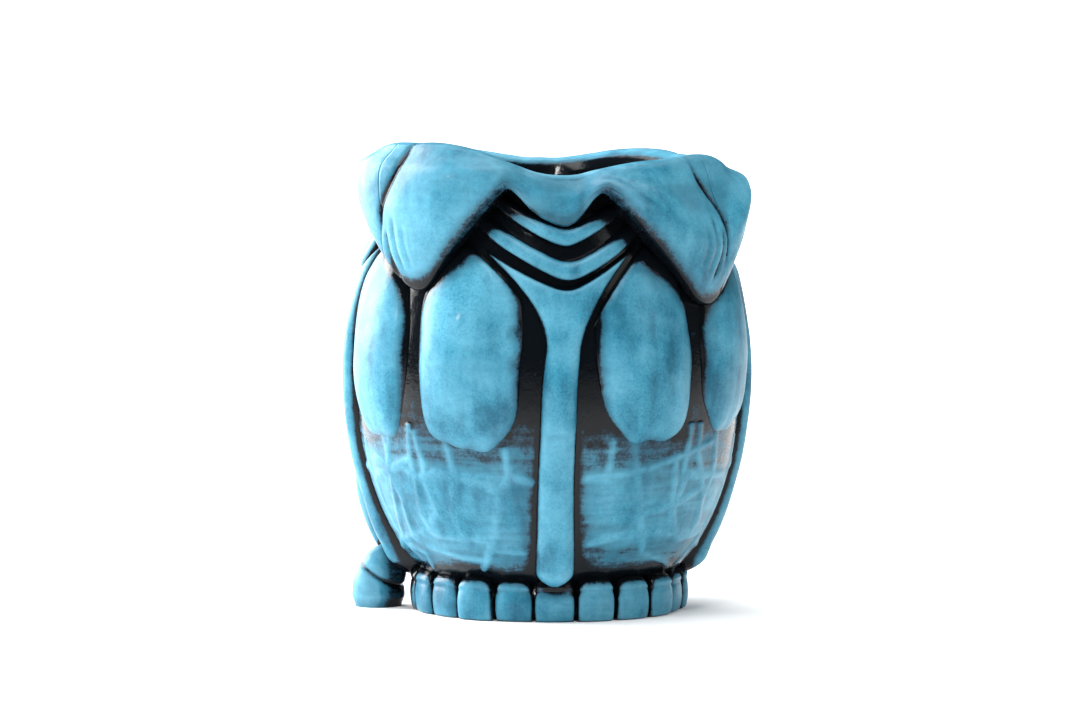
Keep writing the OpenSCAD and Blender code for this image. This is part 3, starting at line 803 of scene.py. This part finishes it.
def makeGlaze(name):
    mat = bpy.data.materials.new(name)
    mat.use_nodes = True
    tree = mat.node_tree
    tree.nodes.clear()
    out = newNode(tree, "ShaderNodeOutputMaterial")
    shader = newNode(tree, "ShaderNodeBsdfPrincipled")
    tree.links.new(shader.outputs[0], out.inputs[0])
    where = newNode(tree, "ShaderNodeTexCoord")

    def noise(scale, detail, rough, upwards):
        source = where.outputs["Object"]
        if upwards != 1:
            source = newNode(tree, "ShaderNodeMapping", {"Scale": (1, 1, upwards), "Vector": source}).outputs[0]
        values = {"Scale": scale, "Detail": detail, "Roughness": rough, "Vector": source}
        return newNode(tree, "ShaderNodeTexNoise", values).outputs["Fac"]

    def maths(kind, a, b, clamp=False):
        return newMath(tree, kind, a, b, clamp)

    def around(source, middle, weight):
        return maths("MULTIPLY", maths("SUBTRACT", source, middle), weight)

    def summed(mix):
        parts = [maths("MULTIPLY", pattern[label], weight) for label, weight in mix.items()]
        total = parts[0]
        for part in parts[1:]:
            total = maths("ADD", total, part)
        return total

    def attribute(label):
        return newNode(tree, "ShaderNodeAttribute", attribute_name=label).outputs["Fac"]

    def mixed(fac, a, b, kind="MIX"):
        node = newNode(tree, "ShaderNodeMix", {0: fac, 6: a, 7: b}, data_type="RGBA", blend_type=kind)
        return node.outputs[2]

    def ramp(source, *spots):
        node = newNode(tree, "ShaderNodeValToRGB", {0: source})
        bar = node.color_ramp
        while len(bar.elements) > 1:
            bar.elements.remove(bar.elements[-1])
        for k, (spot, colour) in enumerate(spots):
            e = bar.elements[0] if k == 0 else bar.elements.new(spot)
            e.position = spot
            e.color = colour
        return node.outputs[0]

    poolAndShadeAttr, worn, brush = attribute("poolAndShade"), attribute("worn"), attribute("brush")
    pattern = {label: noise(*values) for label, values in patterns.items()}

    # pooled glaze and painted shade, broken up at its edge by the patterns in the glaze
    level = poolAndShadeAttr
    for label, weight in edgeMix.items():
        level = maths("ADD", level, around(pattern[label], 0.5, weight))
    strokes = maths("ADD", 0.25, maths("MULTIPLY", brush, 0.28))
    level = maths("ADD", level, around(pattern["streaks"], 0.5, strokes), clamp=True)

    body = ramp(summed(toneMix), (0.40, glazeSet["deep"]), (0.485, glazeSet["teal"]), (0.57, glazeSet["light"]))
    speck = ramp(pattern["fine"], (0.37, (0.58, 0.70, 0.76, 1)), (0.50, (0.88, 0.92, 0.94, 1)), (0.63, white))
    colour = mixed(0.85, body, speck, "MULTIPLY")
    rubbed = maths("ADD", maths("MULTIPLY", worn, 0.55), around(pattern["cloud"], 0.40, 0.9), clamp=True)
    colour = mixed(rubbed, colour, glazeSet["pale"])
    # darker towards the stain colour where glaze pools and where shade is painted
    stainAndShadeMask = ramp(level, (0.04, black), (0.58, white))
    colour = mixed(maths("MULTIPLY", stainAndShadeMask, glazeSet["stainAndShadeStrength"]), colour, glazeSet["stainAndShade"])
    # black glaze in the deepest pools, which also paints the darkest shade under the pads
    blackPoolsAndShade = ramp(level, (0.44, black), (0.68, white))
    # painted sheen: a purple-grey reflection look in a band along the pools' edges
    paintedSheenBand = ramp(level, (0.40, black), (0.54, white), (0.70, black))
    colour = mixed(maths("MULTIPLY", paintedSheenBand, glazeSet["paintedSheenStrength"]), colour, glazeSet["paintedSheen"])
    colour = mixed(blackPoolsAndShade, colour, glazeSet["poolAndShade"])

    rough = newNode(tree, "ShaderNodeMapRange", {
        "Value": level, "From Min": 0.3, "From Max": 0.7,
        "To Min": glazeSet["roughWiped"], "To Max": glazeSet["roughPooled"]}).outputs[0]
    dull = maths("SUBTRACT", 1.0, maths("MULTIPLY", blackPoolsAndShade, 0.35))
    bump = newNode(tree, "ShaderNodeBump", {
        "Strength": glazeSet["bumpStrength"], "Distance": glazeSet["bumpDistance"],
        "Height": maths("MULTIPLY", summed(heightMix), dull)})
    setInputs(tree, shader, {
        "Base Color": colour,
        "Roughness": maths("ADD", rough, around(pattern["grain"], 0.5, glazeSet["roughUneven"])),
        "Specular IOR Level": glazeSet["specular"],
        "IOR": 1.5,
        "Coat Weight": glazeSet["coat"],
        "Coat Roughness": glazeSet["coatRough"],
        "Normal": bump.outputs[0],
    })
    return mat


glaze = makeGlaze("tealGlaze")
teethPiece = layTeeth()

# the cup itself, with its net of thin ridges
print("cup")
net = {"height": 0.34, "width": 0.95, "lowest": 10.5, "highest": 50.0, "widestCopied": 50, "wander": 1.0}


def buildCup():
    turns = cup["turns"]
    footR, rimIn = cup["footRadius"], cup["footRadius"] - cup["footRim"]
    az = np.linspace(-180, 180, turns, endpoint=False)
    under = [(3, cup["soleLift"]), (14, cup["soleLift"]), (rimIn - 0.3, cup["soleLift"])]
    foot = [(rimIn, 0.0), (footR - 0.3, 0.0), (footR - 0.15, 0.3), (footR - 0.15, cup["footHeight"] - 0.8)]
    heights = [*np.linspace(cup["footHeight"] - 0.1, 52, 92), *np.linspace(53.2, seatZ - 0.8, 48)]
    wall = [(float(wallRadius(z)), z) for z in heights]
    lip = [(cup["neckRadius"] - 0.8, seatZ - 0.2), (mouthR + 0.8, seatZ - 0.2)]
    inside = [(float(boreRadius(z)), z) for z in np.linspace(seatZ - 0.8, cup["floorHeight"] + 0.25, 46)]
    inside += [(r, cup["floorHeight"]) for r in (cup["floorRadius"] * 0.97, 16, 8, 3)]
    rows = np.array(under + foot + wall + lip + inside)
    r = np.repeat(rows[:, :1], turns, 1)
    z = np.repeat(rows[:, 1:], turns, 1)
    azGrid = np.repeat(az[None], len(rows), 0)
    # broad flats left by the paddle between the ridges
    row = np.arange(len(rows)) - len(under) - len(foot)
    isWall = (row >= 0) & (row < len(wall))
    flats = cup["paddleMarks"] * wobble(azGrid, z, 12, 31) * smooth(z, 10, 16)
    r = r + np.where(isWall[:, None], flats, 0)
    points = onto(azGrid, r, z).reshape(-1, 3)
    bottom, top = len(points), len(points) + 1
    points = np.concatenate([points, [[0, 0, cup["soleLift"]], [0, 0, cup["floorHeight"]]]])
    quads = list(gridQuads(len(rows), turns, wrap=True))
    last = (len(rows) - 1) * turns
    for j in range(turns):
        quads.append([bottom, (j + 1) % turns, j])
        quads.append([top, last + j, last + (j + 1) % turns])
    return meshFrom("cup", points, quads)


# each line of the net is a few azimuth and height pairs, given for the front face;
# the narrower lines are carried round to the other faces
netFront = [
    [(-49, 50), (-50, 41), (-49, 35), (-50, 27), (-47, 22)],
    [(-16, 44), (-15, 38), (-18, 33), (-21, 25), (-24, 19), (-30, 13)],
    [(-49, 36), (-40, 38), (-24, 36), (-18, 33)],
    [(-15, 38), (-8, 36)],
    [(-47, 22), (-41, 21.5), (-25, 21)],
    [(-53, 18), (-38, 16), (-28, 15.5)],
    [(-24, 19), (-12, 17.5)],
    [(-70, 18), (-57, 16), (-60, 11)],
    [(-70, 40), (-60, 38), (-50, 41)],
    [(-62, 52), (-61, 38), (-64, 28), (-70, 18)],
    [(-35, 46), (-33, 37), (-36, 29), (-34, 21)],
    [(17, 46), (16, 37)],
    [(24, 45), (26, 38), (29, 27), (35, 17)],
    [(49, 53), (50, 42), (56, 33), (62, 23)],
    [(9, 37), (24, 38), (44, 42), (57, 44.5)],
    [(12, 20), (26, 22.5), (44, 22), (59, 21)],
    [(40, 41), (42, 31), (44, 22)],
    [(29, 27), (43, 29), (56, 33), (68, 30)],
    [(35, 17), (48, 15), (58, 12)],
]


def netLines():
    lines = [np.array(l, float) for l in netFront]
    for turnBy, flip, seed in ((94, 1, 1), (180, -1, 2), (266, -1, 3)):
        dice = np.random.default_rng(seed)
        for l in netFront:
            l = np.array(l, float)
            if np.abs(l[:, 0]).max() > net["widestCopied"]:
                continue
            moved = l + dice.normal(0, net["wander"], l.shape)
            moved[:, 0] = turnBy + flip * moved[:, 0]
            lines.append(moved)
    verts, edges = [], []
    for l in lines:
        t = np.linspace(0, len(l) - 1, (len(l) - 1) * 6 + 1)
        azs = np.interp(t, np.arange(len(l)), l[:, 0])
        zs = np.interp(t, np.arange(len(l)), l[:, 1])
        p = onto(azs, wallRadius(zs), zs) * mm
        edges += [(len(verts) + k, len(verts) + k + 1) for k in range(len(p) - 1)]
        verts += [tuple(v) for v in p]
    data = bpy.data.meshes.new("netLines")
    data.from_pydata(verts, edges, [])
    return placed("netLines", data)


def raiseNet(piece, lines):
    # lifts the cup's skin into a soft ridge wherever it is close to a line of the net
    tree, given, result = newTree("netOfRidges", [
        ("Lines", "NodeSocketObject", None), ("Ridge height", "NodeSocketFloat", 0.001),
        ("Ridge width", "NodeSocketFloat", 0.001), ("Lowest", "NodeSocketFloat", 0.01),
        ("Highest", "NodeSocketFloat", 0.05), ("Glaze", "NodeSocketMaterial", None)])
    info = newNode(tree, "GeometryNodeObjectInfo", {"Object": given.outputs["Lines"]})
    near = newNode(tree, "GeometryNodeProximity", {0: info.outputs["Geometry"]}, target_element="EDGES")
    share = newMath(tree, "DIVIDE", near.outputs["Distance"], given.outputs["Ridge width"])
    squared = newMath(tree, "MULTIPLY", share, share)
    bell = newMath(tree, "EXPONENT", newMath(tree, "MULTIPLY", squared, -1.0))
    place = newNode(tree, "GeometryNodeInputPosition")
    height = newNode(tree, "ShaderNodeSeparateXYZ", {0: place.outputs[0]}).outputs["Z"]
    aboveLow = newMath(tree, "GREATER_THAN", height, given.outputs["Lowest"])
    belowHigh = newMath(tree, "LESS_THAN", height, given.outputs["Highest"])
    ridge = newMath(tree, "MULTIPLY", bell, newMath(tree, "MULTIPLY", aboveLow, belowHigh))
    keep = newNode(tree, "GeometryNodeStoreNamedAttribute", {
        "Name": "ridge", 0: given.outputs["Geometry"], "Value": ridge}, data_type="FLOAT", domain="POINT")
    lift = newMath(tree, "MULTIPLY", ridge, given.outputs["Ridge height"])
    normal = newNode(tree, "GeometryNodeInputNormal")
    push = newNode(tree, "ShaderNodeVectorMath", {0: normal.outputs[0], "Scale": lift}, operation="SCALE")
    move = newNode(tree, "GeometryNodeSetPosition", {0: keep.outputs[0], "Offset": push.outputs[0]})
    endTree(tree, move.outputs[0], given, result)
    values = {"Lines": lines, "Ridge height": net["height"] * mm, "Ridge width": net["width"] * mm,
              "Lowest": net["lowest"] * mm, "Highest": net["highest"] * mm, "Glaze": glaze}
    return runTree(piece, tree, values, lines)


cupPiece = raiseNet(buildCup(), netLines())

# how deep each point lies among its neighbours, which sets the pooled glaze, the painted shade and the wear
print("glaze depth")
everyPiece = ([cupPiece, teethPiece, limbPiece, knobPiece] + browPieces + list(foldPieces.values())
              + list(nosePieces.values()) + list(padPieces.values()))
poolingAndShade = {
    "cells": 720, "cellHeight": 0.4, "radius": 46,
    "near": 1.0, "middle": 2.4, "far": 5.0, "narrow": 1.3, "wide": 3.4, "bleedAndShade": 2.6,
    "narrowWeight": 0.62, "wideWeight": 0.80, "bleedAndShadeWeight": 0.85, "bleedAndShadeUneven": 0.40, "base": 0.08,
    "nearWeight": 0.20, "middleWeight": 0.30, "farWeight": 0.26, "slopeWeight": 0.26,
    "browMost": 0.22, "browMottle": 0.10, "shadeUnderBrowEdge": 0.62, "cutWeight": 0.62,
    "shadeUnderPads": 0.52, "shadeLowOnCup": 0.40, "ridgeWiped": 0.22, "ridgeWorn": 0.16, "footPool": 0.9,
}
# corners, middle and side middles of a triangle, as shares of its corners
spotsOnTriangle = ((1, 0, 0), (0, 1, 0), (0, 0, 1), (0.34, 0.33, 0.33),
                   (0.5, 0.5, 0), (0, 0.5, 0.5), (0.5, 0, 0.5))


def coords(piece):
    flat = np.empty(len(piece.data.vertices) * 3, np.float32)
    piece.data.vertices.foreach_get("co", flat)
    return flat.reshape(-1, 3).astype(float) / mm


def outerMap():
    # the mug's outermost radius at each azimuth and height
    n = poolingAndShade["cells"]
    rowsUp = int(mugTop / poolingAndShade["cellHeight"]) + 12
    field = np.zeros((rowsUp, n))
    for piece in everyPiece:
        data = piece.data
        p = coords(piece)
        data.calc_loop_triangles()
        tri = np.empty(len(data.loop_triangles) * 3, np.int32)
        data.loop_triangles.foreach_get("vertices", tri)
        tri = tri.reshape(-1, 3)
        for w in spotsOnTriangle:
            q = p[tri[:, 0]] * w[0] + p[tri[:, 1]] * w[1] + p[tri[:, 2]] * w[2]
            r = np.hypot(q[:, 0], q[:, 1])
            a = (np.degrees(np.arctan2(q[:, 0], -q[:, 1])) % 360 / 360 * n).astype(int) % n
            h = np.clip((q[:, 2] / poolingAndShade["cellHeight"]).astype(int), 0, rowsUp - 1)
            np.maximum.at(field, (h, a), r)
    # cells that nothing reaches take the highest of their neighbours
    for k in range(14):
        empty = field == 0
        if not empty.any():
            break
        near = np.maximum.reduce([np.roll(field, 1, 1), np.roll(field, -1, 1),
                                  np.vstack([field[1:], field[-1:]]), np.vstack([field[:1], field[:-1]])])
        field = np.where(empty, near, field)
    return field


def blurred(field, size):
    # size in mm, round the mug without a join and level beyond its top and bottom
    padRows = 60
    tall = np.vstack([np.repeat(field[:1], padRows, 0), field, np.repeat(field[-1:], padRows, 0)])
    fy = np.fft.fftfreq(tall.shape[0], poolingAndShade["cellHeight"])[:, None]
    fx = np.fft.rfftfreq(tall.shape[1], 2 * math.pi * poolingAndShade["radius"] / poolingAndShade["cells"])[None]
    soft = np.exp(-2 * (math.pi * size) ** 2 * (fx ** 2 + fy ** 2))
    return np.fft.irfft2(np.fft.rfft2(tall) * soft, s=tall.shape)[padRows:-padRows]


def bridged(field, size):
    # fills every hollow narrower than twice the size: the highest of the neighbours, then the lowest of those
    cells = int(round(size / poolingAndShade["cellHeight"]))
    reach = range(-cells, cells + 1)
    offsets = [(i, j) for i in reach for j in reach if i * i + j * j <= cells * cells]
    edge = cells * 2
    tall = np.vstack([np.repeat(field[:1], edge, 0), field, np.repeat(field[-1:], edge, 0)])
    for pick in (np.maximum, np.minimum):
        out = tall.copy()
        for i, j in offsets:
            pick(out, np.roll(np.roll(tall, i, 0), j, 1), out=out)
        tall = out
    return tall[edge:-edge]


outer = outerMap()
maps = {k: blurred(outer, poolingAndShade[k]) for k in ("near", "middle", "far")}
tilt = np.hypot(*np.gradient(blurred(outer, 0.5), poolingAndShade["cellHeight"]))
maps["slope"] = blurred(np.clip(tilt, 0, 2), 0.4)
hollow = smooth(bridged(outer, poolingAndShade["wide"]) - outer, 0.4, 2.4)
maps["bleedAndShade"] = blurred(hollow, poolingAndShade["bleedAndShade"])
maps["narrow"] = blurred(bridged(outer, poolingAndShade["narrow"]), 0.3)
maps["wide"] = blurred(bridged(outer, poolingAndShade["wide"]), 0.5)


def readMap(field, az, z):
    n = poolingAndShade["cells"]
    x = (az % 360) / 360 * n - 0.5
    y = np.clip(z / poolingAndShade["cellHeight"] - 0.5, 0, field.shape[0] - 1.001)
    x0, y0 = np.floor(x).astype(int), np.floor(y).astype(int)
    y1 = np.minimum(y0 + 1, field.shape[0] - 1)
    fx, fy = x - x0, y - y0
    low = field[y0, x0 % n] * (1 - fx) + field[y0, (x0 + 1) % n] * fx
    high = field[y1, x0 % n] * (1 - fx) + field[y1, (x0 + 1) % n] * fx
    return low * (1 - fy) + high * fy


def openPoolAndShade(az, z, r):
    # pooled-glaze-and-painted-shade and worn amounts on the open outside: dark glaze pooled in hollows, painted
    # shade on ledges, on steep sides and spreading out from hollows, worn on high spots
    w = poolingAndShade
    near, middle, far, narrow, wide = [readMap(maps[k], az, z) - r
                                       for k in ("near", "middle", "far", "narrow", "wide")]
    slope, bleedAndShade = readMap(maps["slope"], az, z), readMap(maps["bleedAndShade"], az, z)
    poolAndShade = w["narrowWeight"] * smooth(narrow, 0.35, 1.7) + w["wideWeight"] * smooth(wide, 0.7, 2.8)
    poolAndShade = poolAndShade + bleedAndShade * (w["bleedAndShadeWeight"] + w["bleedAndShadeUneven"] * wobble(az, z, 17, 51))
    # painted shade: darker where the blurred surface round a point stands above it, as at the foot of a step,
    # and on steep sides
    poolAndShade = poolAndShade + w["base"] + w["nearWeight"] * np.clip(near, -1, 1.5)
    poolAndShade = poolAndShade + w["middleWeight"] * np.clip(middle, -1.2, 2) + w["farWeight"] * np.clip(far, -1.0, 2.5)
    poolAndShade = poolAndShade + w["slopeWeight"] * smooth(slope, 0.35, 1.3) * smooth(far, -1.6, 0.2)
    worn = np.clip(-near * 1.0 - 0.10, 0, 0.9) + np.clip(-middle * 0.25 - 0.2, 0, 0.3)
    return poolAndShade, worn


def shadeUnderPadsAndLow(poolAndShade, az, z):
    # painted shade: the dark band round the belly under the pads and the darker patches low on the cup, broken
    # by uneven patches and horizontal streaks
    shadeBand = poolingAndShade["shadeUnderPads"] * smooth(z, 30, 50) + poolingAndShade["shadeLowOnCup"] * smooth(z, 24, 12)
    shadeBand = shadeBand + 0.14 * wobble(az, z, 8, 71)
    shadeBand = shadeBand + 0.09 * wobble(az, z * 6, 8, 81) * smooth(z, 50, 44)
    most = 0.45 + 0.40 * smooth(z, 43, 54) + 0.09 * wobble(az, z, 6, 72)
    return np.maximum(poolAndShade, np.minimum(poolAndShade + shadeBand, most))


def setPoolShadeAndWear(piece):
    p = coords(piece)
    r = np.hypot(p[:, 0], p[:, 1])
    az = np.degrees(np.arctan2(p[:, 0], -p[:, 1]))
    z = p[:, 2]
    poolAndShade, worn = openPoolAndShade(az, z, r)
    crest = browCrest(az)
    top = smooth(z, crest - 8, crest - 3)
    poolAndShade = poolAndShade * (1 - top) + poolingAndShade["base"] * top
    # painted shade: inside the mouth and the cup the colour is darker the deeper a point lies below the crest,
    # and paler just under the crest
    inMouth = (r < mouthR + 6) & (z > seatZ - 1.5)
    inCup = (r < boreRadius(z) + 1.0) & (z > cup["floorHeight"] - 0.5)
    inside = inMouth | inCup
    poolAndShade = np.where(inside, smooth(crest - z, 0.3, 2.8), poolAndShade)
    worn = np.where(inside, 0.5 * smooth(crest - z, 1.0, 0.1), worn)
    cut, ridge = readLayer(piece, "cut"), readLayer(piece, "ridge")
    if piece in browPieces or piece is knobPiece:
        # painted shade along the brow's lower edge, where it overhangs the wall
        lip = smooth(z - browEdge(az), 5.5, 0.3) * (0.35 + 0.65 * smooth(between(az)[0], 0.22, 0.36))
        mottle = poolingAndShade["browMottle"] * wobble(az, z, 6, 33)
        light = np.clip(poolAndShade, 0, poolingAndShade["browMost"]) + mottle + poolingAndShade["shadeUnderBrowEdge"] * lip
        poolAndShade = np.where(inside, poolAndShade, light + poolingAndShade["cutWeight"] * np.clip(cut, 0, 1.2))
        worn = worn * (1 - np.clip(cut * 2, 0, 1)) * (1 - lip)
    if piece is cupPiece:
        poolAndShade = np.where(inside, poolAndShade, shadeUnderPadsAndLow(poolAndShade, az, z)) - poolingAndShade["ridgeWiped"] * ridge
        worn = worn + poolingAndShade["ridgeWorn"] * ridge
        poolAndShade = np.where(z < 9, poolingAndShade["footPool"], poolAndShade)
    if piece is teethPiece:
        poolAndShade = np.maximum(poolAndShade, 0.62 * smooth(z, toothTop - 2.6, toothTop - 0.4) + 0.1)
    if piece is knobPiece:
        # the knob is dark in its crease, darker on its inner side towards the cup, where glaze pools and shade
        # is painted, and darker towards its foot
        poolAndShade = 0.12 + 0.5 * cut + 0.5 * smooth(r, 43, 39) + 0.2 * smooth(z, 3, 0)
    brush = np.full(len(z), 1.0 if piece is cupPiece else 0.0)
    for label, values in (("poolAndShade", poolAndShade), ("worn", worn), ("brush", brush)):
        storeLayer(piece, label, np.clip(values, 0, 1))


for piece in everyPiece:
    setPoolShadeAndWear(piece)
    piece.data.materials.clear()
    piece.data.materials.append(glaze)

# what each piece stands for
for piece in everyPiece:
    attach(piece, "root")
standsFor = [(cupPiece, ["vessel"])]
standsFor += [(piece, ["brow_" + face]) for face, piece in zip(faces, browPieces)]
standsFor += [(piece, ["fold_%s_%s" % (level, face)]) for (face, level), piece in foldPieces.items()]
standsFor += [(piece, ["nose_" + face]) for face, piece in nosePieces.items()]
standsFor += [(piece, ["eye_pad_%s_%s" % (face, "a" if side < 0 else "b")])
              for (face, side), piece in padPieces.items()]
standsFor += [(teethPiece, ["tooth_%02d" % (k + 1) for k in range(teeth["count"])])]
standsFor += [(limbPiece, ["limb_left"]), (knobPiece, ["foot_knob"])]
for piece, cadNodes in standsFor:
    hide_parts(*cadNodes)

# studio, in metres
print("studio")
studio = {
    "distance": 2.0, "cameraHeight": 0.223, "azimuth": -3.0, "frameWidth": 0.2724,
    "aimHeight": 0.0630, "aimSide": -0.0020, "worldLight": 0.10,
    "across": 6.0, "ahead": 4.0, "behind": 7.0,
    # the paper's painted shade and its glow as a light, each from one y to another: the two places, the two
    # values
    "shade": (-0.40, -0.215, 0.45, 0.93),
    "glow": (0.35, 1.1, 0.12, 1.1),
}
# each softbox: where it stands, its size, its power, and where it aims
mugMiddle = (0, 0, 0.07)
softboxes = {
    "keyLeft": ((-0.92, 0.34, 0.45), (0.50, 0.8), 19, mugMiddle),
    "rearLeft": ((-0.70, 0.68, 0.42), (0.9, 0.8), 20, mugMiddle),
    "overhead": ((-0.15, -0.36, 1.10), (0.8, 0.8), 12.5, mugMiddle),
    "fillRight": ((0.95, -0.75, 0.50), (0.7, 0.8), 2.6, mugMiddle),
    "sparkFront": ((-0.25, -0.9, 0.85), (0.08, 0.08), 2.4, mugMiddle),
    "sparkLeft": ((-0.85, -0.55, 0.35), (0.05, 0.05), 1.2, mugMiddle),
    "paperLight": ((0.0, 0.8, 1.5), (2.4, 0.5), 24, (0, 1.5, 0.2)),
}


def makePaper():
    # painted shade: the paper's colour darkens towards the viewer; it glows as a light, a little near the mug
    # and evenly white far behind it
    paper = bpy.data.materials.new("paper")
    paper.use_nodes = True
    tree = paper.node_tree
    where = newNode(tree, "ShaderNodeTexCoord")
    parts = newNode(tree, "ShaderNodeSeparateXYZ", {0: where.outputs["Object"]})

    def alongY(values):
        spans = dict(zip(("From Min", "From Max", "To Min", "To Max"), values))
        return newNode(tree, "ShaderNodeMapRange", {"Value": parts.outputs["Y"], **spans}).outputs[0]

    shade = alongY(studio["shade"])
    grey = newNode(tree, "ShaderNodeCombineColor", {0: shade, 1: shade, 2: shade}).outputs[0]
    setInputs(tree, tree.nodes["Principled BSDF"], {
        "Base Color": grey, "Roughness": 0.9, "Specular IOR Level": 0.15,
        "Emission Color": grey, "Emission Strength": alongY(studio["glow"])})
    return paper


def layFloor():
    data = bpy.data.meshes.new("floor")
    across, ahead, behind = studio["across"], studio["ahead"], studio["behind"]
    corners = [(-across, -ahead, 0), (across, -ahead, 0), (across, behind, 0), (-across, behind, 0)]
    data.from_pydata(corners, [], [(0, 1, 2, 3)])
    data.shade_smooth()
    floor = placed("floor", data)
    data.materials.append(makePaper())


def hangLights():
    world = bpy.data.worlds.new("studio")
    bpy.context.scene.world = world
    world.use_nodes = True
    background = world.node_tree.nodes["Background"]
    background.inputs[0].default_value = (1, 1, 1, 1)
    background.inputs[1].default_value = studio["worldLight"]
    for name, (place, size, power, aim) in softboxes.items():
        light = bpy.data.lights.new(name, "AREA")
        light.shape = "RECTANGLE"
        light.size, light.size_y = size
        light.energy = power
        lamp = placed(name, light)
        lamp.location = place
        lamp.rotation_euler = (Vector(aim) - Vector(place)).to_track_quat("-Z", "Y").to_euler()


def setCamera():
    camera = bpy.data.cameras.new("camera")
    camera.sensor_width = 36
    camera.lens = 36 * studio["distance"] / studio["frameWidth"]
    camera.clip_end = 20
    eye = placed("camera", camera)
    a = math.radians(studio["azimuth"])
    away = studio["distance"]
    side = Vector((math.cos(a), math.sin(a), 0))
    eye.location = Vector((math.sin(a) * away, -math.cos(a) * away, studio["cameraHeight"]))
    aim = side * studio["aimSide"] + Vector((0, 0, studio["aimHeight"]))
    eye.rotation_euler = (aim - eye.location).to_track_quat("-Z", "Y").to_euler()
    bpy.context.scene.camera = eye
    bpy.context.scene.view_settings.view_transform = "Standard"


layFloor()
hangLights()
setCamera()
bpy.context.view_layer.update()
